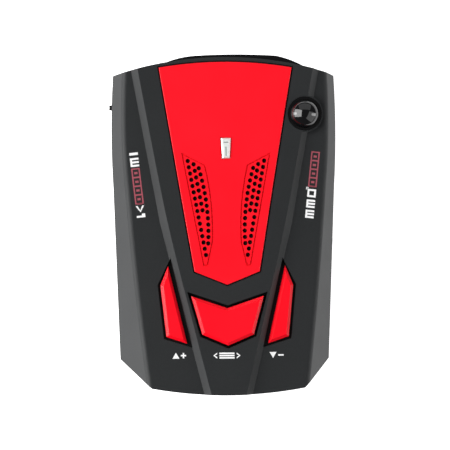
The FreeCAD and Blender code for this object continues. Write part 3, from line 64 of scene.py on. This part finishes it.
def linear(hex_colour):
    """An sRGB hex colour as linear red, green, blue and 1."""
    parts = [int(hex_colour[i : i + 2], 16) / 255 for i in (1, 3, 5)]
    return (*[c / 12.92 if c <= 0.04045 else ((c + 0.055) / 1.055) ** 2.4 for c in parts], 1.0)


def add(tree, kind, inputs=None, **settings):
    """Adds a node with its settings; an input given another node's socket is linked to it."""
    made = tree.nodes.new(kind)
    for name, value in settings.items():
        setattr(made, name, value)
    for name, value in (inputs or {}).items():
        if isinstance(value, bpy.types.NodeSocket):
            tree.links.new(value, made.inputs[name])
        else:
            made.inputs[name].default_value = value
    return made


def per_mm(size):
    """Texture scale at which one cell is this many millimetres."""
    return 1 / (size * MM)


def new_material(name, **surface):
    """A Principled material; surface gives its sockets with underscores for spaces."""
    made = bpy.data.materials.new(name)
    made.use_nodes = True
    tree = made.node_tree
    shader = tree.nodes["Principled BSDF"]
    for socket, value in surface.items():
        shader.inputs[socket.replace("_", " ")].default_value = value
    place = add(tree, "ShaderNodeTexCoord").outputs["Object"]
    return made, tree, shader, place


def bump(tree, shader, height, distance, strength=1.0):
    """Raises the surface by `distance` millimetres where height is 1."""
    made = add(tree, "ShaderNodeBump", {"Height": height, "Distance": distance * MM, "Strength": strength})
    tree.links.new(made.outputs["Normal"], shader.inputs["Normal"])


def tinted(tree, factor, low, high):
    """A colour that runs from low to high with the factor."""
    ramp = add(tree, "ShaderNodeValToRGB", {"Fac": factor})
    ramp.color_ramp.elements[0].color = linear(low)
    ramp.color_ramp.elements[1].color = linear(high)
    return ramp.outputs["Color"]


def spread(tree, factor, low, high):
    """A number that runs from low to high with the factor."""
    return add(tree, "ShaderNodeMapRange", {"Value": factor, "To Min": low, "To Max": high}).outputs["Result"]


def textured_abs(name, dark, light, rough, grain_mm=0.45, deep_mm=0.012, shine=0.5):
    """Moulded ABS from a spark-eroded tool: a fine even grain that breaks the highlight into a soft sheen."""
    made, tree, shader, place = new_material(name, IOR=1.54, Specular_IOR_Level=shine)
    # The real grain is about 0.1 mm and would not show, so it is drawn coarser.
    fine = {"Vector": place, "Scale": per_mm(grain_mm), "Detail": 3.0, "Roughness": 0.6}
    grain = add(tree, "ShaderNodeTexNoise", fine)
    cloud = add(tree, "ShaderNodeTexNoise", {"Vector": place, "Scale": per_mm(14), "Detail": 2.0})
    tree.links.new(tinted(tree, grain.outputs["Fac"], dark, light), shader.inputs["Base Color"])
    tree.links.new(spread(tree, cloud.outputs["Fac"], rough - 0.05, rough + 0.05), shader.inputs["Roughness"])
    bump(tree, shader, grain.outputs["Fac"], deep_mm)
    return made


def glossy_paint(name, dark, light, rough):
    """Red lacquer over ABS: one even colour with faint orange peel under the gloss."""
    made, tree, shader, place = new_material(name, IOR=1.5, Specular_IOR_Level=0.3)
    peel = add(tree, "ShaderNodeTexNoise", {"Vector": place, "Scale": per_mm(1.6), "Detail": 1.0})
    cloud = add(tree, "ShaderNodeTexNoise", {"Vector": place, "Scale": per_mm(18), "Detail": 2.0})
    tree.links.new(tinted(tree, cloud.outputs["Fac"], dark, light), shader.inputs["Base Color"])
    tree.links.new(spread(tree, cloud.outputs["Fac"], rough - 0.04, rough + 0.04), shader.inputs["Roughness"])
    bump(tree, shader, peel.outputs["Fac"], 0.004)
    return made


def metal(name, dark, light, rough, streak_mm=0.25):
    """Plated or cast metal: fine streaks from finishing, with duller patches."""
    made, tree, shader, place = new_material(name, Metallic=1.0)
    stretched = add(tree, "ShaderNodeMapping", {"Vector": place, "Scale": (1.0, 0.06, 1.0)}).outputs["Vector"]
    streak = add(tree, "ShaderNodeTexNoise", {"Vector": stretched, "Scale": per_mm(streak_mm), "Detail": 2.0})
    tree.links.new(tinted(tree, streak.outputs["Fac"], dark, light), shader.inputs["Base Color"])
    dulled = spread(tree, streak.outputs["Fac"], rough - 0.06, rough + 0.06)
    tree.links.new(dulled, shader.inputs["Roughness"])
    bump(tree, shader, streak.outputs["Fac"], 0.002)
    return made


def silver_paint(name, dark, light):
    """Silver lacquer: fine aluminium flakes in a clear binder, pale and evenly bright with a soft sparkle."""
    made, tree, shader, place = new_material(name, Metallic=0.35, Coat_Weight=0.3, Coat_Roughness=0.15)
    flakes = add(tree, "ShaderNodeTexVoronoi", {"Vector": place, "Scale": per_mm(0.3)})
    tree.links.new(tinted(tree, flakes.outputs["Distance"], dark, light), shader.inputs["Base Color"])
    tree.links.new(spread(tree, flakes.outputs["Distance"], 0.35, 0.5), shader.inputs["Roughness"])
    bump(tree, shader, flakes.outputs["Distance"], 0.004)
    return made


def smoked_lens(name, colour, rough=0.06):
    """Infrared-pass polycarbonate: polished and all but black, with a trace of moulding ripple."""
    made, tree, shader, place = new_material(name, IOR=1.58, Coat_Weight=0.3, Coat_Roughness=0.03)
    ripple = add(tree, "ShaderNodeTexNoise", {"Vector": place, "Scale": per_mm(5), "Detail": 1.0})
    tree.links.new(tinted(tree, ripple.outputs["Fac"], colour, "#0b0b0c"), shader.inputs["Base Color"])
    tree.links.new(spread(tree, ripple.outputs["Fac"], rough, rough + 0.04), shader.inputs["Roughness"])
    bump(tree, shader, ripple.outputs["Fac"], 0.002)
    return made


def woven_cloth(name, dark, light):
    """Speaker cloth: plain weave, its threads drawn 0.4 mm apart so that they show through the holes."""
    made, tree, shader, place = new_material(name, Roughness=0.9, Sheen_Weight=0.2)
    thread = {"Vector": place, "Scale": per_mm(0.4) / 20, "Distortion": 0.3}
    warp = add(tree, "ShaderNodeTexWave", thread, bands_direction="X")
    weft = add(tree, "ShaderNodeTexWave", thread, bands_direction="Y")
    threads = {0: warp.outputs["Fac"], 1: weft.outputs["Fac"]}
    weave = add(tree, "ShaderNodeMath", threads, operation="MULTIPLY")
    tree.links.new(tinted(tree, weave.outputs[0], dark, light), shader.inputs["Base Color"])
    bump(tree, shader, weave.outputs[0], 0.05)
    return made


def soft_rubber(name, dark, light):
    """Moulded rubber: matt, slightly blotched, with a dusty grain."""
    made, tree, shader, place = new_material(name, IOR=1.52)
    grain = add(tree, "ShaderNodeTexNoise", {"Vector": place, "Scale": per_mm(0.6), "Detail": 4.0})
    tree.links.new(tinted(tree, grain.outputs["Fac"], dark, light), shader.inputs["Base Color"])
    tree.links.new(spread(tree, grain.outputs["Fac"], 0.72, 0.92), shader.inputs["Roughness"])
    bump(tree, shader, grain.outputs["Fac"], 0.02)
    return made


def solder_mask(name):
    """Green solder mask over copper: tracks show as paler, slightly raised lines."""
    made, tree, shader, place = new_material(name, IOR=1.5, Coat_Weight=0.3, Coat_Roughness=0.2)
    tracks = add(
        tree,
        "ShaderNodeTexVoronoi",
        {"Vector": place, "Scale": per_mm(2.4)},
        distance="MANHATTAN",
        feature="F1",
    )
    line = add(tree, "ShaderNodeMath", {0: tracks.outputs["Distance"], 1: 0.62}, operation="GREATER_THAN")
    tree.links.new(tinted(tree, line.outputs[0], "#0c4a25", "#1d7a3c"), shader.inputs["Base Color"])
    tree.links.new(spread(tree, tracks.outputs["Distance"], 0.3, 0.42), shader.inputs["Roughness"])
    bump(tree, shader, line.outputs[0], 0.03)
    return made


def printed_ink(name, colour, shade):
    """Pad-printed ink: flat colour that thins a little at random."""
    made, tree, shader, place = new_material(name, IOR=1.48)
    thin = add(tree, "ShaderNodeTexNoise", {"Vector": place, "Scale": per_mm(0.5), "Detail": 3.0})
    tree.links.new(tinted(tree, thin.outputs["Fac"], shade, colour), shader.inputs["Base Color"])
    tree.links.new(spread(tree, thin.outputs["Fac"], 0.4, 0.55), shader.inputs["Roughness"])
    return made


case_abs = textured_abs("case_textured_abs", "#1e1f20", "#262829", 0.46, shine=0.22)
# The inner parts get the case's black ABS darkened to near black: painted shade, so that where they show in
# the gaps round the buttons they look as dark as the shade in those gaps.
shade_darkened_abs = textured_abs("inner_abs_darkened_as_shade", "#060606", "#0a0a0b", 0.42, shine=0.3)
ring_abs = textured_abs("ring_satin_abs", "#030303", "#060607", 0.30, deep_mm=0.004, shine=0.3)
panel_red = glossy_paint("panel_red_lacquer", "#f0041a", "#f60820", 0.38)
button_red = glossy_paint("button_red_lacquer", "#f2041a", "#f80820", 0.32)
badge_plate = silver_paint("badge_silver_lacquer", "#dfe5e1", "#f2f6f3")
tin_plate = metal("tin_plated_sheet", "#b0b0aa", "#cfcfca", 0.34)
zinc_cast = metal("cast_zinc", "#82837f", "#a2a39f", 0.52, 0.8)
screw_steel = metal("zinc_plated_steel", "#7f8286", "#a9adb1", 0.32)
lens_black = smoked_lens("dome_infrared_polycarbonate", "#050406")
window_black = smoked_lens("window_infrared_polycarbonate", "#060508", 0.14)
grille_black = woven_cloth("speaker_cloth", "#060606", "#1c1c1c")
foot_rubber = soft_rubber("foot_rubber", "#141414", "#222222")
foam = soft_rubber("gasket_foam", "#18181a", "#2a2a2c")
board_green = solder_mask("board_solder_mask")
label_film = printed_ink("label_silver_film", "#b9bbbd", "#a6a8aa")
ink_white = printed_ink("ink_white", "#f6f6f6", "#e2e2e2")
ink_red = printed_ink("ink_red", "#a8505c", "#8c3c48")
ink_grey = printed_ink("ink_grey", "#55585a", "#45484a")

FINISH = {
    case_abs: ["top_shell", "bottom_shell"],
    shade_darkened_abs: [
        "up_button_base", "menu_button_base", "down_button_base", "up_switch_plunger", "menu_switch_plunger",
        "down_switch_plunger", "switch_bodies", "dome_sensor", "microcontroller", "voltage_regulator",
        "laser_receiver", "led_display", "display_header", "speaker_wires", "power_jack",
        "power_slider_knob", "speaker_cone",
    ],
    ring_abs: ["dome_ring"],
    panel_red: ["centre_panel"],
    button_red: ["up_button_cap", "menu_button_cap", "down_button_cap"],
    badge_plate: ["badge_insert"],
    tin_plate: ["crystal", "electrolytic_capacitors", "shield_can", "speaker_frame", "slide_switch"],
    zinc_cast: ["horn_antenna", "speaker_magnet"],
    screw_steel: ["case_screws", "board_screws"],
    lens_black: ["dome_lens"],
    window_black: ["road_window", "display_window"],
    grille_black: ["grille_cloth"],
    foot_rubber: ["foot_pads"],
    foam: ["speaker_gasket"],
    board_green: ["main_board", "rf_board", "laser_board", "display_board"],
    label_film: ["rating_plate"],
}
for finish, names in FINISH.items():
    for name in names:
        for slot in nodes[name].material_slots:
            slot.material = finish

# Printed marks --------------------------------------------------------------------------------

LIFT = 0.03 * MM
INK_THICK = 0.022 * MM


def surface_of(node):
    """The triangles of a CAD node as a tree that rays can be dropped on."""
    return BVHTree.FromObject(nodes[node], bpy.context.evaluated_depsgraph_get())


def finish_piece(name, shape, material, body):
    """Turns a bmesh into a piece of the object that rides on a body."""
    bmesh.ops.recalc_face_normals(shape, faces=shape.faces)
    mesh = bpy.data.meshes.new(name)
    shape.to_mesh(mesh)
    shape.free()
    mesh.materials.append(material)
    made = bpy.data.objects.new(name, mesh)
    bpy.context.scene.collection.objects.link(made)
    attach(made, body)
    return made


def ink_film(name, outlines, material, ground, facing=1.0):
    """A thin film of ink for each flat outline in millimetres, laid on the ground it is printed on."""
    shape = bmesh.new()
    for outline in outlines:
        corners = [shape.verts.new((x * MM, y * MM, 0)) for x, y in outline]
        bmesh.ops.contextual_create(shape, geom=corners)
    bmesh.ops.subdivide_edges(shape, edges=shape.edges, cuts=3, use_grid_fill=True)
    for corner in shape.verts:
        above = Vector((corner.co.x, corner.co.y, 0.1 * facing))
        hit = ground.ray_cast(above, Vector((0, 0, -facing)))[0]
        corner.co.z = hit.z + LIFT * facing
    bmesh.ops.recalc_face_normals(shape, faces=shape.faces)
    for face in shape.faces:
        if face.normal.z * facing < 0:
            face.normal_flip()
    bmesh.ops.solidify(shape, geom=shape.faces, thickness=INK_THICK)
    return finish_piece(name, shape, material, "case")


def bar(x, y, long, wide):
    """A rectangle around a middle point."""
    return [
        (x - long / 2, y - wide / 2),
        (x + long / 2, y - wide / 2),
        (x + long / 2, y + wide / 2),
        (x - long / 2, y + wide / 2),
    ]


def frame_bars(x, y, long, wide, line):
    """Four bars that make an open rectangle."""
    side = (wide - line) / 2
    end = (long - line) / 2
    return [
        bar(x, y + side, long, line),
        bar(x, y - side, long, line),
        bar(x - end, y, line, wide - 2 * line),
        bar(x + end, y, line, wide - 2 * line),
    ]


def comb(x, y, long, wide, line, teeth):
    """A bar along one side with teeth across."""
    bars = [bar(x, y - (wide - line) / 2, long, line)]
    for i in range(teeth):
        at = x - (long - line) / 2 + (long - line) * i / (teeth - 1)
        bars.append(bar(at, y + line / 2, line, wide - line))
    return bars


def chevron(x, y, long, wide, line):
    """Two slanted bars that meet in a point."""
    tail, tip = x - long / 2, x + long / 2
    top, under = y + wide / 2, y - wide / 2
    return [
        [(tail, top), (tail, top - line), (tip - line, y), (tip, y)],
        [(tail, under + line), (tail, under), (tip, y), (tip - line, y)],
    ]


def placed(outlines, start, end):
    """Outlines drawn along x, turned to run from one point of the case to another."""
    start, end = Vector(start), Vector(end)
    ahead = (end - start).normalized()
    side = Vector((-ahead.y, ahead.x))
    return [[tuple(start + ahead * x + side * y) for x, y in outline] for outline in outlines]


def print_case():
    """The marks on the wings and under the buttons: plain bars, frames and arrows in place of words."""
    ground = surface_of("top_shell")
    wide, line = 2.75, 0.62
    left = ((-29.43, 22.9), (-27.1, 2.0))
    white = [bar(0.4, 0, 0.8, wide)]
    white += comb(3.1, 0, 2.8, wide, line, 3)
    white += chevron(18.1, 0, 2.1, wide, line)
    white += [bar(19.9, 0.85, 0.6, 1.05), bar(20.5, 0, line, wide)]
    ink_film("left_wing_white_marks", placed(white, *left), ink_white, ground)
    red = frame_bars(10.75, 0, 11.5, wide, 0.42)
    for i in range(4):
        red.append(bar(6.55 + 2.8 * i, 0, 0.7, wide - 1.7))
        red.append(bar(7.95 + 2.8 * i, 0, 0.5, wide - 0.8))
    ink_film("left_wing_red_marks", placed(red, *left), ink_red, ground)

    right = ((29.0, 23.05), (26.7, 1.9))
    red = frame_bars(5.7, 0, 11.4, wide, 0.42)
    for i in range(4):
        red.append(bar(1.6 + 2.75 * i, 0, 0.7, wide - 1.7))
        red.append(bar(2.95 + 2.75 * i, 0, 0.5, wide - 0.8))
    ink_film("right_wing_red_marks", placed(red, *right), ink_red, ground)
    white = frame_bars(13.4, 0, 2.6, wide, line)
    white += comb(16.8, 0, 2.6, wide, line, 3)
    white += comb(20.1, 0, 2.6, wide, line, 3)
    white += frame_bars(11.95, -1.55, 0.75, 0.75, 0.22)
    ink_film("right_wing_white_marks", placed(white, *right), ink_white, ground)

    row = -41.75
    tall, thin = 1.9, 0.48
    up = [[(-17.7, row - tall / 2), (-15.5, row - tall / 2), (-16.6, row + tall / 2)]]
    up += [bar(-14.2, row, 1.7, thin), bar(-14.2, row + 0.55, thin, 0.6), bar(-14.2, row - 0.55, thin, 0.6)]
    menu_x = -0.5
    menu = [bar(menu_x, row + (i - 1) * (tall - thin) / 2, 4.8, thin) for i in range(3)]
    for turn in (-1, 1):
        for piece in chevron(3.7, row, 1.2, tall, thin):
            menu.append([(menu_x + turn * x, y) for x, y in piece])
    down = [[(13.25, row + tall / 2), (14.35, row - tall / 2), (15.45, row + tall / 2)]]
    down += [bar(16.85, row, 1.7, thin)]
    ink_film("button_marks", up + menu + down, ink_white, ground)


def print_rating_plate():
    """A blank rating plate: an empty border, ruled lines and two empty boxes."""
    ground = surface_of("rating_plate")
    x, y = (plate_low.x + plate_high.x) / 2 / MM, (plate_low.y + plate_high.y) / 2 / MM
    long, wide = (plate_high.x - plate_low.x) / MM - 2.4, (plate_high.y - plate_low.y) / MM - 2.4
    lines = frame_bars(x, y, long, wide, 0.3)
    lines += [bar(x - 5, y + step, long - 14, 0.25) for step in (5.5, 2.5, -0.5, -3.5)]
    lines += frame_bars(x + 14, y + 4.5, 5, 5, 0.3) + frame_bars(x + 14, y - 3.5, 5, 5, 0.3)
    ink_film("rating_plate_lines", lines, ink_grey, ground, facing=-1.0)


def mark_badge():
    """Two dark lines of grey ink, one along and one across the badge: painted shade that stands in for scored
    grooves.
    """
    ground = surface_of("badge_insert")
    x, y = (badge_low.x + badge_high.x) / 2 / MM, (badge_low.y + badge_high.y) / 2 / MM
    ink_film("badge_painted_groove_shade", [bar(x, y - 1.0, 0.22, 3.0), bar(x, y + 1.9, 1.5, 0.22)], ink_grey, ground)


# Turned and moulded details -------------------------------------------------------------------

JACK_HEIGHT = 7.9
FOOT_RADIUS = 4.0
FOOT_STEP = 8.0  # the driver's pair of feet stands this much nearer the centre line


def turned(shape, profile, centre, axis, steps=48):
    """Spins a profile of (distance along the axis, radius) in millimetres right round its axis."""
    centre = Vector(centre)
    side = Vector((0, 1, 0)) if axis.x else Vector((1, 0, 0))
    points = [shape.verts.new(centre + axis * along * MM + side * radius * MM) for along, radius in profile]
    edges = [shape.edges.new(pair) for pair in zip(points, points[1:])]
    bmesh.ops.spin(
        shape, geom=points + edges, cent=centre, axis=axis, angle=math.tau, steps=steps, use_merge=True
    )
    bmesh.ops.remove_doubles(shape, verts=shape.verts, dist=0.002 * MM)


def make_jack_contact():
    """The inlet's sprung sleeve with its rolled lip, and the round-nosed pin in its middle."""
    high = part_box("power_jack")[1]
    mouth = Vector((high.x, jack.y, JACK_HEIGHT * MM))
    shape = bmesh.new()
    axis = Vector((1, 0, 0))
    sleeve = [(-8.6, 1.72), (-0.9, 1.72), (-0.6, 1.78), (-0.55, 1.6), (-0.9, 1.5), (-8.6, 1.5), (-8.6, 1.72)]
    turned(shape, sleeve, mouth, axis)
    finish_piece("jack_contact_sleeve", shape, tin_plate, "case")
    shape = bmesh.new()
    pin = [(-8.8, 0.0), (-8.8, 0.62), (-1.9, 0.62), (-1.5, 0.5), (-1.3, 0.3), (-1.22, 0.0)]
    turned(shape, pin, mouth, axis, 24)
    finish_piece("jack_contact_pin", shape, tin_plate, "case")


def make_feet():
    """Four moulded rubber feet with a rounded rim and two ring grooves in the sole."""
    low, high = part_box("foot_pads")
    tall = (high.z - low.z) / MM
    radius = FOOT_RADIUS
    profile = [
        (tall, 0.0), (tall, radius), (0.45, radius),
        (0.18, radius - 0.1), (0.04, radius - 0.32), (0.0, radius - 0.5),
        (0.0, 3.0), (0.25, 2.9), (0.25, 2.5), (0.0, 2.4),
        (0.0, 1.6), (0.25, 1.5), (0.25, 1.1), (0.0, 1.0), (0.0, 0.0),
    ]
    front, back = high.y - radius * MM, low.y + radius * MM
    inner = high.x - (radius + FOOT_STEP) * MM
    places = [(low.x + radius * MM, front), (high.x - radius * MM, front), (-inner, back), (inner, back)]
    shape = bmesh.new()
    for x, y in places:
        turned(shape, profile, (x, y, low.z), Vector((0, 0, 1)))
    made = finish_piece("grooved_rubber_feet", shape, foot_rubber, "case")
    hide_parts("foot_pads")


def make_knob_ribs():
    """Three grip ribs across the outer face of the power switch's knob."""
    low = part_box("power_slider_knob")[0]
    shape = bmesh.new()
    proud, thick, tall = 0.3 * MM, 0.22 * MM, 1.4 * MM
    sunk, pitch = 0.03 * MM, 0.5 * MM
    for i in range(3):
        made = bmesh.ops.create_cube(shape, size=1.0)["verts"]
        bmesh.ops.scale(shape, vec=(proud, thick, tall), verts=made)
        bmesh.ops.translate(shape, vec=(low.x - sunk, knob.y + (i - 1) * pitch, knob.z), verts=made)
    edges = shape.edges[:]
    bmesh.ops.bevel(
        shape, geom=edges, offset=0.06 * MM, segments=2, profile=0.5, affect="EDGES", material=-1
    )
    finish_piece("knob_grip_ribs", shape, shade_darkened_abs, "slider")


print_case()
print_rating_plate()
mark_badge()
make_jack_contact()
make_feet()
make_knob_ribs()

# Camera, light and floor ----------------------------------------------------------------------


def look_at(thing, target):
    thing.rotation_euler = (Vector(target) - thing.location).to_track_quat("-Z", "Y").to_euler()


def make_camera():
    """Almost straight down with the road end up, from far off, leaning a little to the left."""
    lens = bpy.data.cameras.new("camera")
    camera = bpy.data.objects.new("camera", lens)
    bpy.context.scene.collection.objects.link(camera)
    lean = math.radians(4.2)
    distance = 1.2
    seen_wide = 144.7 * MM
    target = Vector((0.25, -0.32, 12.0)) * MM
    back = Vector((-math.sin(lean), 0.0, math.cos(lean)))
    camera.location = target + back * distance
    roll = Matrix.Rotation(math.radians(-0.3), 3, back)
    right = roll @ Vector((math.cos(lean), 0.0, math.sin(lean)))
    turn = Matrix((right, roll @ Vector((0, 1, 0)), back)).transposed()
    camera.rotation_euler = turn.to_euler()
    lens.sensor_width = 36
    lens.lens = lens.sensor_width * distance / seen_wide
    lens.clip_start, lens.clip_end = 0.01, 20
    bpy.context.scene.camera = camera


def make_light(name, place, target, size, power, tint="#ffffff"):
    lamp = bpy.data.lights.new(name, "AREA")
    lamp.shape = "RECTANGLE"
    lamp.size, lamp.size_y = size
    lamp.energy = power
    lamp.color = linear(tint)[:3]
    made = bpy.data.objects.new(name, lamp)
    bpy.context.scene.collection.objects.link(made)
    made.location = place
    look_at(made, target)
    return made


def make_studio():
    """Soft lights on both sides, weak low ones that pick out the ridges, and a table that glows white."""
    world = bpy.data.worlds.new("studio")
    world.use_nodes = True
    world.node_tree.nodes["Background"].inputs["Color"].default_value = linear("#f6f7fa")
    world.node_tree.nodes["Background"].inputs["Strength"].default_value = 0.10
    bpy.context.scene.world = world
    centre = (0, 0, 0.015)
    make_light("key_left", (-1.05, 0.1, 0.8), centre, (1.25, 1.5), 29.0)
    make_light("fill_right", (1.05, -0.45, 0.8), centre, (1.6, 1.6), 8.5)
    make_light("back_low", (0.05, 1.15, 0.8), centre, (2.2, 1.3), 5.0)
    make_light("rim_left", (-1.2, 0.05, 0.2), centre, (0.3, 0.9), 4.2)
    make_light("rim_right", (1.2, -0.1, 0.4), centre, (0.3, 0.9), 3.0)
    mesh = bpy.data.meshes.new("floor")
    shape = bmesh.new()
    bmesh.ops.create_grid(shape, x_segments=1, y_segments=1, size=3.0)
    shape.to_mesh(mesh)
    shape.free()
    floor = bpy.data.objects.new("floor", mesh)
    bpy.context.scene.collection.objects.link(floor)
    # Opal acrylic lit from below, brighter on its left and fading far off to the right.
    made, tree, shader, place = new_material("floor_opal_acrylic", Roughness=0.9)
    haze = add(tree, "ShaderNodeTexNoise", {"Vector": place, "Scale": per_mm(80), "Detail": 1.0})
    tree.links.new(tinted(tree, haze.outputs["Fac"], "#fdfdfd", "#ffffff"), shader.inputs["Emission Color"])
    across = add(tree, "ShaderNodeSeparateXYZ", {"Vector": place}).outputs["X"]
    glow = {"Value": across, "From Min": -0.08, "From Max": 0.25, "To Min": 1.6, "To Max": 0.4}
    strength = add(tree, "ShaderNodeMapRange", glow).outputs["Result"]
    tree.links.new(strength, shader.inputs["Emission Strength"])
    shader.inputs["Base Color"].default_value = linear("#c0c0c0")
    mesh.materials.append(made)


make_camera()
make_studio()
view = bpy.context.scene.view_settings
view.view_transform = "Standard"
view.look = "None"
